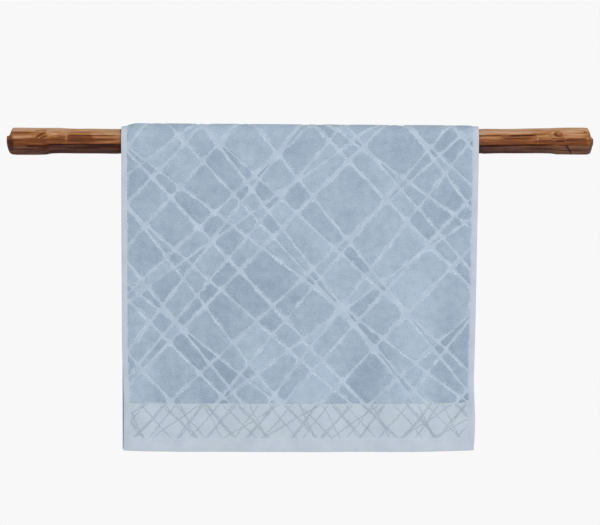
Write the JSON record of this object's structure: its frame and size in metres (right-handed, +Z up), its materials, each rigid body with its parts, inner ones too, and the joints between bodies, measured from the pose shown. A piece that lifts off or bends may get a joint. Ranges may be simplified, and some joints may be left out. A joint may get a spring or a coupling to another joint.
{
  "type": "bath towel on a wooden pole",
  "caption": "Bath towel with a sculpted net of pile and flat border bands, hung evenly over a round hewn wooden pole that thickens at its ends.",
  "frame": {"origin": "on the pole's axis, at the middle of the pole's length", "axes": "+X along the pole, +Z up, and the towel's face looks along -Y"},
  "size_m": [1.252, 0.0771, 0.7006],
  "materials": {
    "towel_cloth": "cut cotton pile on a flat woven ground",
    "pole_wood": "hewn and oiled"
  },
  "bodies": {
    "root": {"towel": "towel_cloth", "pole": "pole_wood"}
  },
  "joints": []
}
